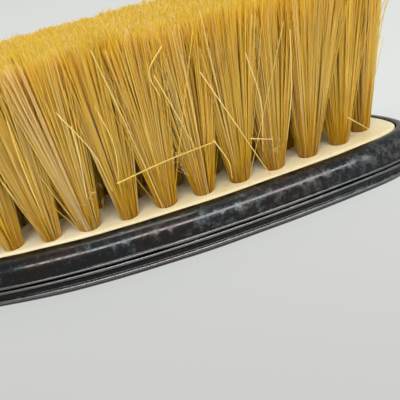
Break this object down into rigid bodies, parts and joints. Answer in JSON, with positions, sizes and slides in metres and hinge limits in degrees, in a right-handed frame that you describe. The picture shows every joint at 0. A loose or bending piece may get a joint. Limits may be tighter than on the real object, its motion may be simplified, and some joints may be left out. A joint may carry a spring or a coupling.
{
  "type": "vanity hairbrush",
  "caption": "Silver-mounted vanity hairbrush lying on its back: pointed oval head with tufts of boar bristle in an ivory-coloured plate, reeded rim and a rounded handle.",
  "frame": {"origin": "middle of the overall length and width, on the plane of the back's resting flat", "axes": "+X towards the toe of the head, the handle towards -X; +Z out of the face, the way the bristles stand"},
  "size_m": [0.24, 0.0752, 0.033],
  "materials": {
    "silver_back": "blackened, tarnished sterling silver with rubbed high spots",
    "silver_front": "blackened, tarnished sterling silver with a mottled blue and brown bloom",
    "ivory_plate": "ivory-coloured celluloid, softly glossy, yellowed beside the tufts",
    "stock_wood": "plain sawn beech",
    "cement": "dark rosin and plaster cement",
    "boar_bristle": "golden blond boar bristle, amber at the roots",
    "brass_wire": "drawn brass wire, dull"
  },
  "bodies": {
    "root": {"back_shell": "silver_back", "front_frame": "silver_front", "face_plate": "ivory_plate", "brush_stock": "stock_wood", "head_cement": "cement", "handle_filler": "cement", "bristle_ring_1": "boar_bristle", "bristle_ring_2": "boar_bristle", "bristle_ring_3": "boar_bristle", "bristle_ring_4": "boar_bristle", "bristle_ring_5": "boar_bristle", "bristle_ring_6": "boar_bristle", "bristle_middle_row": "boar_bristle", "drawing_wire_1": "brass_wire", "drawing_wire_2": "brass_wire", "drawing_wire_3": "brass_wire", "drawing_wire_4": "brass_wire", "drawing_wire_5": "brass_wire", "drawing_wire_6": "brass_wire", "drawing_wire_middle": "brass_wire"}
  },
  "joints": []
}
